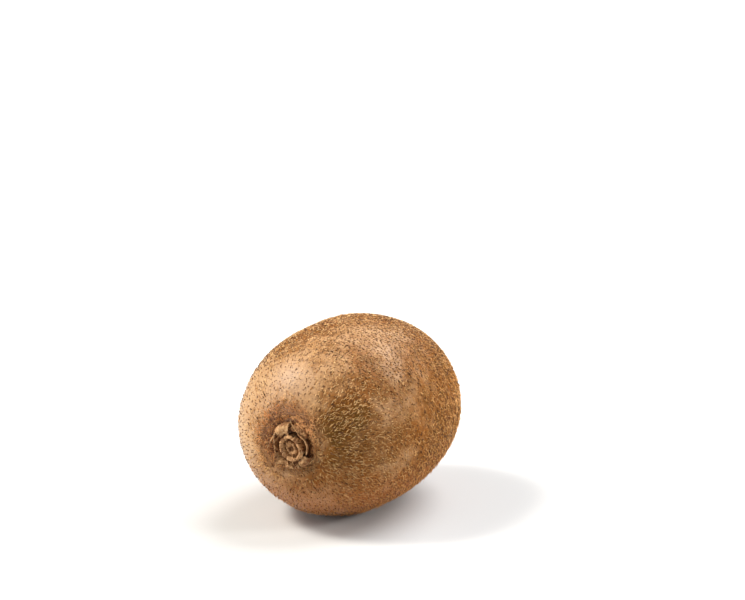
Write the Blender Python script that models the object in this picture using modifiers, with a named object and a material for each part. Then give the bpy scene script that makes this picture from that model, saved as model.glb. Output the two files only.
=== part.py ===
"""A kiwi fruit lying on its side, as picked.

Blender 4.5, metres, +Z up. The fruit's long axis is Y: the stem end faces -Y and the blossom end
faces +Y. It rests on a small flat spot at Z = 0, and the origin is under the middle of its box.
"""

import math
import random

import bmesh
import bpy
from mathutils import Matrix, Vector

MM = 0.001

# Driving dimensions of the fruit
WIDTH = 52.0 * MM
HEIGHT = 50.0 * MM
LENGTH = 67.2 * MM
REST_SPOT_DEPTH = 0.35 * MM
GAP = 0.3 * MM

# The outline is a barrel: |along|^BARREL_ALONG + out^BARREL_ROUND = 1
BARREL_ALONG = 2.43
BARREL_ROUND = 2.47
STEM_END_FULLNESS = 0.025
# Soft ribs round the fruit: how many, how high as a share of the radius, and where they start
RIBS = ((2, 0.004, 0.9), (3, 0.006, 0.4), (5, 0.003, 2.1))

# The dimple that the stem button stands in, and the low nose and pit of the blossom end
DIMPLE_DEPTH = 2.6 * MM
DIMPLE_RADIUS = 7.2 * MM
DIMPLE_POWER = 4
NOSE_HEIGHT = 0.9 * MM
NOSE_RADIUS = 8.5 * MM
PIT_DEPTH = 0.7 * MM
PIT_RADIUS = 2.6 * MM

# The skin's mesh, whose rings crowd towards the ends, where the dimple and the nose are
SKIN_SIDES = 64
SKIN_RINGS = 36
RING_CROWDING = 1.3

# Round seats cut in the skin, which the dry pieces stand in
SEAT_SIDES = 48
STEM_SEAT_RADIUS = 6.05 * MM
STEM_SEAT_DEPTH = 0.6 * MM
STYLE_SEAT_RADIUS = 2.3 * MM
STYLE_SEAT_DEPTH = 1.3 * MM

# The woody scar where the stalk broke off, as radius and height in millimetres above the
# dimple's floor: a pip with a pit in it, the cup round the pip, the raised ring, and the side
# down to the foot
BUTTON_PROFILE = (
    (0.0, 1.6), (0.4, 1.75), (0.8, 2.0), (1.1, 1.8), (1.25, 1.35), (1.5, 1.05), (1.85, 1.2),
    (2.1, 1.8), (2.4, 2.4), (2.75, 2.65), (3.1, 2.5), (3.3, 2.1), (3.35, 1.5), (3.4, 0.6),
    (3.3, -0.1), (2.9, -0.3), (0.0, -0.3),
)
BUTTON_SIDES = 40
BUTTON_WAVES = ((2, 0.03, 2.4), (3, 0.02, 1.7), (7, 0.012, 0.2))

# The dry calyx: a flat collar round the button, and five sepals that grow from it
COLLAR_PROFILE = (
    (4.05, 0.35), (4.5, 0.6), (5.3, 0.6), (5.75, 0.35), (5.75, -0.25), (4.05, -0.25),
)
COLLAR_SIDES = 40
SEPAL_ROOT_RADIUS = 5.0 * MM
SEPAL_ROOT_HEIGHT = 0.2 * MM
SEPAL_THICKNESS = 0.6 * MM
SEPAL_ACROSS = 4
SEPAL_ALONG = 5
SEPAL_CUPPING = 0.2 * MM
SEPAL_RAGGEDNESS = 0.07
# For each sepal: where it grows round the button in degrees, its width and length in
# millimetres, how steeply it leaves the collar, and how far it turns on its way to the tip, in
# degrees, which is outwards over the skin, or inwards over the button where it is negative
SEPALS = (
    (125, 5.2, 3.2, 95, -35),
    (22, 6.0, 2.9, 92, -25),
    (305, 4.2, 2.9, 60, -110),
    (200, 3.8, 3.6, 75, 45),
    (256, 4.0, 1.9, 80, 15),
)

# The star of dried styles at the blossom end: a foot, long bunched styles and short single ones
STYLE_FOOT_RADIUS = 2.0 * MM
STYLE_FOOT_SIDES = 20
STYLE_FOOT_TOP = 0.5 * MM
LONG_STYLES = 6
SHORT_STYLES = 13
LONG_STYLE_REACH = (3.2 * MM, 4.6 * MM)
SHORT_STYLE_REACH = (1.4 * MM, 2.8 * MM)
LONG_STYLE_RADIUS = 0.52 * MM
SHORT_STYLE_RADIUS = 0.34 * MM
STYLE_ROOT_RADIUS = 0.4 * MM
STYLE_CLEARANCE = 0.75 * MM
STYLE_ARCH = 0.7 * MM
STYLE_STEPS = 5
STYLE_THINNING = 0.5
STYLE_SEED = 11

# Colours are linear red, green and blue
SKIN_BROWN = (0.36, 0.19, 0.075)
BUTTON_TAN = (0.33, 0.2, 0.1)
SEPAL_BROWN = (0.2, 0.11, 0.05)
STYLE_DARK = (0.035, 0.022, 0.014)

# How far the highest sepal and the styles stand past the ends of the plain barrel
SEPALS_PROUD = 0.85 * MM
STYLES_PROUD = 2.65 * MM


def waves_at(waves, around):
    """One plus a few cosines round the axis, which keep a turned shape from looking machined."""
    return 1 + sum(height * math.cos(count * around + start) for count, height, start in waves)


# The middle of the barrel, set so that the middle of the whole box is over the origin
MIDDLE = Vector(
    (
        (waves_at(RIBS, math.pi) - waves_at(RIBS, 0)) * WIDTH / 4,
        (SEPALS_PROUD - STYLES_PROUD) / 2,
        HEIGHT / 2 * waves_at(RIBS, -math.pi / 2) - REST_SPOT_DEPTH,
    )
)


def clear_scene():
    for thing in list(bpy.data.objects):
        bpy.data.objects.remove(thing, do_unlink=True)


def new_collection(name):
    collection = bpy.data.collections.new(name)
    bpy.context.scene.collection.children.link(collection)
    return collection


def new_material(name, colour, roughness):
    material = bpy.data.materials.new(name)
    material.use_nodes = True
    shader = material.node_tree.nodes["Principled BSDF"]
    shader.inputs["Base Color"].default_value = (*colour, 1)
    shader.inputs["Roughness"].default_value = roughness
    shader.inputs["Metallic"].default_value = 0
    material.diffuse_color = (*colour, 1)
    return material


def add_object(name, mesh, collection, material=None):
    thing = bpy.data.objects.new(name, mesh)
    collection.objects.link(thing)
    if material:
        mesh.materials.append(material)
    return thing


def mesh_from(bm, name):
    mesh = bpy.data.meshes.new(name)
    bm.to_mesh(mesh)
    bm.free()
    return mesh


def finished_mesh(thing):
    """The mesh that an object's modifiers or its curve's bevel make."""
    bpy.context.view_layer.update()
    graph = bpy.context.evaluated_depsgraph_get()
    return bpy.data.meshes.new_from_object(thing.evaluated_get(graph))


def apply_modifiers(thing):
    mesh = finished_mesh(thing)
    thing.modifiers.clear()
    thing.data = mesh


def barrel_along(out):
    """How far along the half length the skin lies, at a share of the full radius."""
    return (1 - min(out, 1.0) ** BARREL_ROUND) ** (1 / BARREL_ALONG)


def stem_level(radius):
    """How far the skin lies from the fruit's middle towards the stem, this far from the axis."""
    dimple = DIMPLE_DEPTH * math.exp(-((radius / DIMPLE_RADIUS) ** DIMPLE_POWER))
    return LENGTH / 2 * barrel_along(radius / (WIDTH / 2)) - dimple


def blossom_level(radius):
    """How far the skin lies from the fruit's middle towards the blossom end."""
    nose = NOSE_HEIGHT * math.exp(-((radius / NOSE_RADIUS) ** 2))
    pit = PIT_DEPTH * math.exp(-((radius / PIT_RADIUS) ** 2))
    return LENGTH / 2 * barrel_along(radius / (WIDTH / 2)) + nose - pit


def skin_point(across, along, up):
    """Where the skin lies, for a point on the unit sphere whose axis is the fruit's long axis."""
    out = min(math.hypot(across, up), 1.0) ** RING_CROWDING
    around = math.atan2(up, across)
    share = math.copysign(barrel_along(out), along)
    spread = out * (1 - STEM_END_FULLNESS * share * (1 - share**2)) * waves_at(RIBS, around)
    radius = out * WIDTH / 2
    level = -stem_level(radius) if along < 0 else blossom_level(radius)
    return Vector((spread * math.cos(around) * WIDTH / 2, level, spread * math.sin(around) * HEIGHT / 2))


def at_stem(radius, around, height):
    """A point this high above the dimple's floor, turned round the stem end from the right."""
    return MIDDLE + Vector(
        (radius * math.cos(around), -(stem_level(0) + height), radius * math.sin(around))
    )


def at_blossom(radius, around, height):
    """A point this high above the skin of the blossom end."""
    return MIDDLE + Vector(
        (radius * math.cos(around), blossom_level(radius) + height, radius * math.sin(around))
    )


def make_fruit_body(collection, material):
    """A sphere drawn out to the barrel, with its dimple, nose and ribs, cut flat where it rests."""
    bm = bmesh.new()
    bmesh.ops.create_uvsphere(bm, u_segments=SKIN_SIDES, v_segments=SKIN_RINGS, radius=1)
    for vertex in bm.verts:
        across, up, along = vertex.co.x, -vertex.co.y, vertex.co.z
        vertex.co = skin_point(across, along, up) + MIDDLE
    cut = bmesh.ops.bisect_plane(
        bm,
        geom=bm.verts[:] + bm.edges[:] + bm.faces[:],
        plane_co=(0, 0, 0),
        plane_no=(0, 0, -1),
        clear_outer=True,
    )
    rim = [piece for piece in cut["geom_cut"] if isinstance(piece, bmesh.types.BMEdge)]
    bmesh.ops.holes_fill(bm, edges=rim)
    return add_object("fruit_body", mesh_from(bm, "fruit_body"), collection, material)


def add_seat_cutter(name, radius, floor, collection):
    """A plug along Y, from a seat's floor outwards. A floor below zero is at the stem end."""
    outside = math.copysign(LENGTH, floor)
    bm = bmesh.new()
    bmesh.ops.create_cone(
        bm,
        segments=SEAT_SIDES,
        radius1=radius,
        radius2=radius,
        depth=abs(outside - floor),
        cap_ends=True,
        matrix=Matrix.Translation(MIDDLE + Vector((0, (floor + outside) / 2, 0)))
        @ Matrix.Rotation(math.pi / 2, 4, "X"),
    )
    cutter = add_object(name, mesh_from(bm, name), collection)
    cutter.hide_render = True
    cutter.display_type = "WIRE"
    return cutter


def cut_seats(fruit, cutters):
    stem_floor = STEM_SEAT_DEPTH - stem_level(0)
    style_floor = blossom_level(0) - STYLE_SEAT_DEPTH
    for cutter in (
        add_seat_cutter("stem_seat_cutter", STEM_SEAT_RADIUS, stem_floor, cutters),
        add_seat_cutter("style_seat_cutter", STYLE_SEAT_RADIUS, style_floor, cutters),
    ):
        boolean = fruit.modifiers.new(cutter.name, "BOOLEAN")
        boolean.operation = "DIFFERENCE"
        boolean.object = cutter


def turned(name, profile, sides, closed, collection):
    """A profile in millimetres turned round Z. It runs down its outer side."""
    bm = bmesh.new()
    points = [bm.verts.new((radius * MM, 0, height * MM)) for radius, height in profile]
    for first, second in zip(points, points[1:]):
        bm.edges.new((first, second))
    if closed:
        bm.edges.new((points[-1], points[0]))
    thing = add_object(name, mesh_from(bm, name), collection)
    screw = thing.modifiers.new("turn", "SCREW")
    screw.steps = sides
    screw.render_steps = sides
    screw.use_merge_vertices = True
    screw.merge_threshold = 0.01 * MM
    apply_modifiers(thing)
    return thing


def stand_at_stem(thing, waves=()):
    """Turn a piece modelled round Z to the stem end, a little out of round."""
    for vertex in thing.data.vertices:
        radius = math.hypot(vertex.co.x, vertex.co.y)
        around = math.atan2(vertex.co.y, vertex.co.x)
        vertex.co = at_stem(radius * waves_at(waves, around), around, vertex.co.z)


def make_stem_button(collection, material):
    """The woody scar: a turned ring, cup and pip, a little out of round."""
    button = turned("stem_button", BUTTON_PROFILE, BUTTON_SIDES, False, collection)
    stand_at_stem(button, BUTTON_WAVES)
    button.data.materials.append(material)
    return button


def add_sepal(name, place, width, length, rise, turn, collection):
    """A leaf-shaped strip that leaves the collar and turns steadily on its way to the tip."""
    start = math.radians(rise)
    bend = math.radians(turn)
    bm = bmesh.new()
    bmesh.ops.create_grid(bm, x_segments=SEPAL_ACROSS, y_segments=SEPAL_ALONG, size=1)
    for vertex in bm.verts:
        side = vertex.co.x
        share = (vertex.co.y + 1) / 2
        lean = start - bend * share
        outwards = length * MM * (math.sin(start) - math.sin(lean)) / bend
        upwards = length * MM * (math.cos(lean) - math.cos(start)) / bend
        ragged = 1 + SEPAL_RAGGEDNESS * share * math.sin(2 * side + place)
        reach = width * MM / 2 * (1 - 0.2 * share - 0.3 * share**3)
        around = math.radians(place) + side * reach / SEPAL_ROOT_RADIUS
        cupped = SEPAL_CUPPING * side**2 * share
        vertex.co = at_stem(
            SEPAL_ROOT_RADIUS + outwards + cupped, around, SEPAL_ROOT_HEIGHT + upwards * ragged
        )
    sepal = add_object(name, mesh_from(bm, name), collection)
    thick = sepal.modifiers.new("thickness", "SOLIDIFY")
    thick.thickness = SEPAL_THICKNESS
    thick.offset = 0
    apply_modifiers(sepal)


def join_all(first, others, material):
    """Make one solid of an object and a collection of others that overlap it."""
    union = first.modifiers.new("join", "BOOLEAN")
    union.operation = "UNION"
    union.operand_type = "COLLECTION"
    union.collection = others
    apply_modifiers(first)
    for thing in list(others.objects):
        bpy.data.objects.remove(thing, do_unlink=True)
    bpy.data.collections.remove(others)
    first.data.materials.clear()
    first.data.materials.append(material)
    return first


def make_dry_sepals(collection, material):
    """The calyx: a collar with five curled sepals, which hold together as one piece."""
    collar = turned("dry_sepals", COLLAR_PROFILE, COLLAR_SIDES, True, collection)
    stand_at_stem(collar)
    sepals = new_collection("sepals_to_join")
    for number, (place, width, length, rise, turn) in enumerate(SEPALS):
        add_sepal(f"sepal_{number}", place, width, length, rise, turn, sepals)
    return join_all(collar, sepals, material)


def style_path(draw, reach):
    """Points from the foot of the star outwards, rising in a low arch and bending aside."""
    around = draw.uniform(0, 2 * math.pi)
    sway = draw.uniform(-0.5, 0.5)
    arch = STYLE_ARCH * draw.uniform(0.4, 1.2)
    for step in range(STYLE_STEPS):
        share = step / (STYLE_STEPS - 1)
        height = STYLE_CLEARANCE + PIT_DEPTH * (1 - share) + arch * math.sin(math.pi * share)
        yield at_blossom(STYLE_ROOT_RADIUS + reach * share, around + sway * share**2, height)


def add_style(name, points, thickness, collection):
    """One dried style: a tube that thins along its path, as a closed mesh."""
    curve = bpy.data.curves.new(name, "CURVE")
    curve.dimensions = "3D"
    curve.bevel_depth = thickness
    curve.bevel_resolution = 1
    curve.use_fill_caps = True
    spline = curve.splines.new("POLY")
    spline.points.add(len(points) - 1)
    for step, (point, spline_point) in enumerate(zip(points, spline.points)):
        spline_point.co = (*point, 1)
        spline_point.radius = 1 - STYLE_THINNING * step / (len(points) - 1)
    tube = bpy.data.objects.new(name, curve)
    collection.objects.link(tube)
    mesh = finished_mesh(tube)
    bpy.data.objects.remove(tube, do_unlink=True)
    bm = bmesh.new()
    bm.from_mesh(mesh)
    bmesh.ops.remove_doubles(bm, verts=bm.verts, dist=0.001 * MM)
    bmesh.ops.recalc_face_normals(bm, faces=bm.faces)
    return add_object(name, mesh_from(bm, name), collection)


def make_dried_styles(collection, material):
    """The star-shaped tuft at the blossom end, on a short foot that stands in its seat."""
    bottom = GAP - STYLE_SEAT_DEPTH
    top = PIT_DEPTH + STYLE_FOOT_TOP
    bm = bmesh.new()
    bmesh.ops.create_cone(
        bm,
        segments=STYLE_FOOT_SIDES,
        radius1=STYLE_FOOT_RADIUS,
        radius2=STYLE_FOOT_RADIUS,
        depth=top - bottom,
        cap_ends=True,
        matrix=Matrix.Translation(at_blossom(0, 0, (top + bottom) / 2))
        @ Matrix.Rotation(-math.pi / 2, 4, "X"),
    )
    foot = add_object("dried_styles", mesh_from(bm, "dried_styles"), collection)
    styles = new_collection("styles_to_join")
    draw = random.Random(STYLE_SEED)
    for number in range(LONG_STYLES + SHORT_STYLES):
        is_long = number < LONG_STYLES
        reach = draw.uniform(*(LONG_STYLE_REACH if is_long else SHORT_STYLE_REACH))
        thickness = LONG_STYLE_RADIUS if is_long else SHORT_STYLE_RADIUS
        add_style(f"style_{number}", list(style_path(draw, reach)), thickness, styles)
    return join_all(foot, styles, material)


def main():
    clear_scene()
    fruit_parts = new_collection("kiwi_fruit")
    cutters = new_collection("cutters")
    fruit = make_fruit_body(fruit_parts, new_material("skin", SKIN_BROWN, 0.75))
    cut_seats(fruit, cutters)
    make_stem_button(fruit_parts, new_material("woody_button", BUTTON_TAN, 0.8))
    make_dry_sepals(fruit_parts, new_material("dry_sepal", SEPAL_BROWN, 0.8))
    make_dried_styles(fruit_parts, new_material("dried_style", STYLE_DARK, 0.85))
    for thing in fruit_parts.objects:
        thing.data.shade_smooth()
        thing.data.set_sharp_from_angle(angle=math.radians(50))


main()
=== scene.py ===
# %% [markdown]
# # A kiwi fruit, dressed for its portrait
#
# A kiwi fruit is a plain barrel of a fruit with four things on it that the eye reads at once: a
# dull golden-brown skin, a coat of short crooked hairs, a woody scar with curled sepals where the
# stalk was, and a small dark star of dried styles at the far end. The solids that carry those are
# already there as a fixed frame. This lesson builds the looks around them, one piece at a time.
#
# First comes the frame, and the box of each of its solids is printed. The finished fruit must
# still fit in it.

# %% Load the fixed frame
import math
import random

import bpy
import numpy as np
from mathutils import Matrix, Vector, noise


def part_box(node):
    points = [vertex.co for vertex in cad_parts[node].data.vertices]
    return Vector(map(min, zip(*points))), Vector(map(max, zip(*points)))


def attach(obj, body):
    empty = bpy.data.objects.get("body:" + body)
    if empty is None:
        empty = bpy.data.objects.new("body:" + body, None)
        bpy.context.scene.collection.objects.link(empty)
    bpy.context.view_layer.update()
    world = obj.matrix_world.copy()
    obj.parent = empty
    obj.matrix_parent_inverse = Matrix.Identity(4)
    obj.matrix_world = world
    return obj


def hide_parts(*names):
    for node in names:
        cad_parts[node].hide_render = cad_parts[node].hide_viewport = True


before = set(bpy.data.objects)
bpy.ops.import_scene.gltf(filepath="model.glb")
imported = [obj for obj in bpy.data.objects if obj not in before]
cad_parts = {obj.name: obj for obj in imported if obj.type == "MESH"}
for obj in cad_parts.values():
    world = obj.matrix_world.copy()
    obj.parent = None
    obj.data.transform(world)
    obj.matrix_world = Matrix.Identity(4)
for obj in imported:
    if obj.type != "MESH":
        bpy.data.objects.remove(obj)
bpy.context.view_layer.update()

for node in sorted(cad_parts):
    low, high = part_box(node)
    print(node, "from", [round(c * 1000, 1) for c in low], "to", [round(c * 1000, 1) for c in high])

# %% [markdown]
# ## The form, as a formula
#
# A real fruit this even in outline can be written down: seen from the side it is a barrel, whose
# radius and length obey one power law, with a dimple at the stem end and a low nose at the other.
# A sculpted mesh would do as well, but a formula has two gains here. It is the same one that the
# solids were made with, so the new skin lies exactly where the solid is, and it works on all the
# points at once.

# %% The fruit's sizes
MM = 0.001
WIDTH = 52.0 * MM
HEIGHT = 50.0 * MM
LENGTH = 67.2 * MM
REST_SPOT_DEPTH = 0.35 * MM
BARREL_ALONG = 2.43
BARREL_ROUND = 2.47
STEM_END_FULLNESS = 0.025
RIBS = ((2, 0.004, 0.9), (3, 0.006, 0.4), (5, 0.003, 2.1))
DIMPLE_DEPTH = 2.6 * MM
DIMPLE_RADIUS = 7.2 * MM
DIMPLE_POWER = 4
NOSE_HEIGHT = 0.9 * MM
NOSE_RADIUS = 8.5 * MM
PIT_DEPTH = 0.7 * MM
PIT_RADIUS = 2.6 * MM
SEPALS_PROUD = 0.85 * MM
STYLES_PROUD = 2.65 * MM


def waves_at(waves, around):
    """One plus a few cosines round the axis."""
    return 1 + sum(height * np.cos(count * around + start) for count, height, start in waves)


MIDDLE = np.array(
    [
        (waves_at(RIBS, math.pi) - waves_at(RIBS, 0)) * WIDTH / 4,
        (SEPALS_PROUD - STYLES_PROUD) / 2,
        HEIGHT / 2 * waves_at(RIBS, -math.pi / 2) - REST_SPOT_DEPTH,
    ]
)


def barrel_along(out):
    """How far along the half length the skin lies, at a share of the full radius."""
    return (1 - np.minimum(out, 1.0) ** BARREL_ROUND) ** (1 / BARREL_ALONG)


def stem_level(radius):
    """How far the skin lies from the fruit's middle towards the stem, this far from the axis."""
    dimple = DIMPLE_DEPTH * np.exp(-((radius / DIMPLE_RADIUS) ** DIMPLE_POWER))
    return LENGTH / 2 * barrel_along(radius / (WIDTH / 2)) - dimple


def blossom_level(radius):
    """How far the skin lies from the fruit's middle towards the blossom end."""
    nose = NOSE_HEIGHT * np.exp(-((radius / NOSE_RADIUS) ** 2))
    pit = PIT_DEPTH * np.exp(-((radius / PIT_RADIUS) ** 2))
    return LENGTH / 2 * barrel_along(radius / (WIDTH / 2)) + nose - pit


def skin_points(ball):
    """Draw points of a unit ball out to the skin. The ball's Y axis becomes the fruit's long axis."""
    ball = ball / np.linalg.norm(ball, axis=1, keepdims=True)
    out = np.hypot(ball[:, 0], ball[:, 2])
    around = np.arctan2(ball[:, 2], ball[:, 0])
    share = np.copysign(barrel_along(out), ball[:, 1])
    spread = out * (1 - STEM_END_FULLNESS * share * (1 - share**2)) * waves_at(RIBS, around)
    radius = out * WIDTH / 2
    level = np.where(ball[:, 1] < 0, -stem_level(radius), blossom_level(radius))
    return MIDDLE + np.column_stack(
        [spread * np.cos(around) * WIDTH / 2, level, spread * np.sin(around) * HEIGHT / 2]
    )


print("the barrel's middle is at", (MIDDLE * 1000).round(2), "mm")

# %% [markdown]
# ## Small tools for modelling by operators
#
# Operators act on whatever is selected, and the frame's solids are selected after loading. So each
# piece starts from a clean slate, and points are picked in code, by their place.

# %% Helpers for operators


def fresh_start():
    """Leave edit mode and select nothing, so that the next operator acts on the new piece alone."""
    if bpy.context.object and bpy.context.object.mode != "OBJECT":
        bpy.ops.object.mode_set(mode="OBJECT")
    bpy.ops.object.select_all(action="DESELECT")


def named(name):
    """Name the piece that an operator has just added."""
    piece = bpy.context.object
    piece.name = name
    piece.data.name = name
    return piece


def edit(piece):
    """Work on this piece alone, in edit mode."""
    fresh_start()
    piece.select_set(True)
    bpy.context.view_layer.objects.active = piece
    bpy.ops.object.mode_set(mode="EDIT")


fresh_start()
print("a fresh start leaves", len(bpy.context.selected_objects), "objects selected")

# %% [markdown]
# Moving thousands of points one by one would be slow, so a mesh's points are read, moved and written
# back as one array. Noise and soft steps say how far each of them goes.

# %% Helpers for points


def read_points(piece, label):
    """One vector for each point of the piece, as an array."""
    flat = np.empty(len(piece.data.vertices) * 3, np.float32)
    piece.data.vertices.foreach_get(label, flat)
    return flat.reshape(-1, 3).astype(float)


def points_of(piece):
    return read_points(piece, "co")


def normals_of(piece):
    return read_points(piece, "normal")


def set_points(piece, points):
    piece.data.vertices.foreach_set("co", np.ascontiguousarray(points, np.float32).ravel())
    piece.data.update()


def set_attribute(mesh, label, values):
    """Give each point of a mesh a number that its finish can read."""
    attribute = mesh.attributes.new(label, "FLOAT", "POINT")
    attribute.data.foreach_set("value", np.ascontiguousarray(values, np.float32).ravel())


def select_points(piece, wanted):
    """Select the points where wanted is true, and the edges and faces between them."""
    mesh = piece.data
    mesh.vertices.foreach_set("select", wanted)
    for edge in mesh.edges:
        edge.select = all(wanted[corner] for corner in edge.vertices)
    for face in mesh.polygons:
        face.select = all(wanted[corner] for corner in face.vertices)


def rough(points, size, seed=0):
    """Smooth noise between about -1 and 1 at each point, with bumps about this size."""
    shift = Vector((seed * 7.1, seed * 3.7, seed * 5.3))
    return np.array([noise.noise(Vector(point) / size + shift) for point in points])


def smooth(value, low, high):
    """Zero below low, one above high, and a soft step between."""
    share = np.clip((value - low) / (high - low), 0, 1)
    return share * share * (3 - 2 * share)


def triangles(piece):
    return sum(len(face.vertices) - 2 for face in piece.data.polygons)


print("a quarter of the way along a soft step it is", smooth(0.25, 0, 1), "high")

# %% [markdown]
# ## The camera
#
# The portrait looks down on the fruit by about 18 degrees, from 27 degrees to the right of the
# stem end. The fruit fills only a part of the frame, low and a little left of the middle, so the
# camera points past it. It would be simpler to aim at the fruit and shift the lens, but a shift
# would stay on in every other view.

# %% Set up the camera
PHOTO_WIDTH = 745
SENSOR_WIDTH_MM = 36.0
FOCAL_PIXELS = 2470
EYE_AZIMUTH = 27.1
EYE_ELEVATION = 17.7
EYE_DISTANCE = 0.658
# How far the fruit's middle lies from the frame's middle, to the left and down, in pixels
FRUIT_LEFT = 21.4
FRUIT_DOWN = 112.4

azimuth = math.radians(EYE_AZIMUTH)
elevation = math.radians(EYE_ELEVATION)
back = np.array(
    [
        math.sin(azimuth) * math.cos(elevation),
        -math.cos(azimuth) * math.cos(elevation),
        math.sin(elevation),
    ]
)
pitch = elevation - math.atan(FRUIT_DOWN / FOCAL_PIXELS)
turn = azimuth - math.atan(FRUIT_LEFT / FOCAL_PIXELS / math.cos(pitch))
fresh_start()
bpy.ops.object.camera_add(
    location=MIDDLE + back * EYE_DISTANCE, rotation=(math.pi / 2 - pitch, 0, turn)
)
camera = bpy.context.object
camera.data.sensor_width = SENSOR_WIDTH_MM
camera.data.lens = FOCAL_PIXELS * SENSOR_WIDTH_MM / PHOTO_WIDTH
bpy.context.scene.camera = camera
print("a lens of", round(camera.data.lens), "mm at", camera.location)

# %% [markdown]
# ## The skin
#
# The skin is one closed surface, so it starts as one ball. An icosphere suits it better than a
# sphere of rings: its triangles are all of one size, with no pinched poles just where the camera
# looks. The two ends get one more subdivision, for the puckers round the scar and the nose. Then
# the ball's points are drawn out to the barrel, raised and sunk a little by noise, because no real
# skin is as even as a formula, and the ball is cut flat where it rests.

# %% Shape the skin
SKIN_SUBDIVISIONS = 7
FINE_END = 0.88
# The size and the height of each layer of unevenness, in metres
SKIN_UNEVENNESS = ((9.0 * MM, 0.16 * MM), (3.2 * MM, 0.05 * MM), (1.3 * MM, 0.025 * MM))
PUCKER_COUNT = 11
PUCKER_HEIGHT = 0.07 * MM
PUCKER_WANDER = 2.2
# How far from the axis the puckers rise, and how far out they die away
PUCKERS_RISE = (6 * MM, 8 * MM)
PUCKERS_FADE = (9 * MM, 14 * MM)
# The gap above the biggest sepal: where it is and how wide, in degrees, and its size
GAP_PLACE = 106
GAP_TURN = 24
GAP_RADIUS = 7.7 * MM
GAP_HALF_WIDTH = 0.65 * MM
GAP_DEPTH = 0.8 * MM

fresh_start()
bpy.ops.mesh.primitive_ico_sphere_add(subdivisions=SKIN_SUBDIVISIONS, radius=1)
skin = named("skin")
select_points(skin, np.abs(points_of(skin)[:, 1]) > FINE_END)
edit(skin)
bpy.ops.mesh.subdivide(number_cuts=1)
bpy.ops.object.mode_set(mode="OBJECT")
set_points(skin, skin_points(points_of(skin)))

plain = points_of(skin)
from_middle = plain - MIDDLE
axis_distance = np.hypot(from_middle[:, 0], from_middle[:, 2])
around_axis = np.arctan2(from_middle[:, 2], from_middle[:, 0])
raised = sum(
    height * rough(plain, size, seed=layer)
    for layer, (size, height) in enumerate(SKIN_UNEVENNESS)
)
# Shallow folds run out from the scar like the gathers of a bag, and die away on the shoulder
pucker_phase = PUCKER_COUNT * around_axis + PUCKER_WANDER * rough(plain, 6 * MM, seed=5)
at_scar = np.where(from_middle[:, 1] < 0, 1.0, 0.0)
pucker_zone = smooth(axis_distance, *PUCKERS_RISE) * (1 - smooth(axis_distance, *PUCKERS_FADE))
raised += PUCKER_HEIGHT * np.cos(pucker_phase) * pucker_zone * at_scar
# Above the biggest sepal the skin has drawn back and left a gap
gap_turn = np.abs(np.degrees(around_axis) - GAP_PLACE) / GAP_TURN
gap_out = (axis_distance - GAP_RADIUS) / GAP_HALF_WIDTH
raised -= GAP_DEPTH * np.exp(-(gap_turn**2) - gap_out**2) * at_scar
set_points(skin, plain + normals_of(skin) * raised[:, None])

edit(skin)
bpy.ops.mesh.select_all(action="SELECT")
bpy.ops.mesh.bisect(
    plane_co=(0, 0, 0), plane_no=(0, 0, 1), clear_inner=True, use_fill=True, threshold=0.001 * MM
)
bpy.ops.object.mode_set(mode="OBJECT")
bpy.ops.object.shade_smooth()
print("the skin has", triangles(skin), "triangles")

# %% [markdown]
# ## The woody scar
#
# Where the stalk broke off, the fruit keeps a woody button: a raised ring, a cup inside it, and a
# pip in the cup. It could be a turned profile, as its solid is. Here it is built up by hand, as a
# potter would: a ring of points is extruded and resized step by step along the same profile. Then
# it is subdivided, and noise that is stretched along the grain splits and crumbles it.

# %% Tools that build a piece up and stand it on the stem end


def at_stem(radius, around, height):
    """Points this high above the dimple's floor, turned round the stem end from the right."""
    return MIDDLE + np.column_stack(
        [radius * np.cos(around), -(stem_level(0.0) + height), radius * np.sin(around)]
    )


def polar(points):
    """Radius and angle of points round the Z axis."""
    return np.hypot(points[:, 0], points[:, 1]), np.arctan2(points[:, 1], points[:, 0])


def build_up(name, profile, sides):
    """Extrude a ring of points along a profile of radii and heights in millimetres."""
    fresh_start()
    radius, height = profile[0]
    bpy.ops.mesh.primitive_circle_add(vertices=sides, radius=radius * MM, location=(0, 0, height * MM))
    piece = named(name)
    bpy.ops.object.transform_apply(location=True)
    edit(piece)
    bpy.ops.mesh.select_all(action="SELECT")
    for next_radius, next_height in profile[1:]:
        bpy.ops.mesh.extrude_region_move(
            TRANSFORM_OT_translate={"value": (0, 0, (next_height - height) * MM)}
        )
        bpy.ops.transform.resize(value=(next_radius / radius, next_radius / radius, 1))
        radius, height = next_radius, next_height
    return piece


def select_borders():
    """In edit mode, select the open rings alone."""
    bpy.ops.mesh.select_all(action="DESELECT")
    bpy.ops.mesh.select_non_manifold()


def close_ends():
    """In edit mode, draw the last ring together in a point, and fill the first with a face."""
    bpy.ops.mesh.merge(type="CENTER")
    select_borders()
    bpy.ops.mesh.edge_face_add()


def face_outwards():
    """In edit mode, turn all the faces outwards."""
    bpy.ops.mesh.select_all(action="SELECT")
    bpy.ops.mesh.normals_make_consistent(inside=False)


print("the dimple's floor is", round(stem_level(0.0) / MM, 1), "mm from the fruit's middle")

# %% Build up the scar
BUTTON_SIDES = 72
# From the foot, up the side, over the ring, down into the cup and up its pip
BUTTON_PROFILE = (
    (2.9, -0.3), (3.4, -0.1), (3.5, 0.8), (3.5, 1.9), (3.5, 2.7), (3.3, 3.2), (2.95, 3.4),
    (2.5, 3.25), (2.25, 2.7), (2.1, 2.0), (1.95, 1.7), (1.75, 1.9), (1.65, 2.4), (1.4, 2.8),
    (1.1, 2.85), (0.8, 2.5), (0.55, 2.1), (0.2, 2.0),
)


def finish_modifiers(piece):
    """Apply all of the piece's modifiers, in order."""
    fresh_start()
    bpy.context.view_layer.objects.active = piece
    piece.select_set(True)
    for modifier in list(piece.modifiers):
        bpy.ops.object.modifier_apply(modifier=modifier.name)


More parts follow.
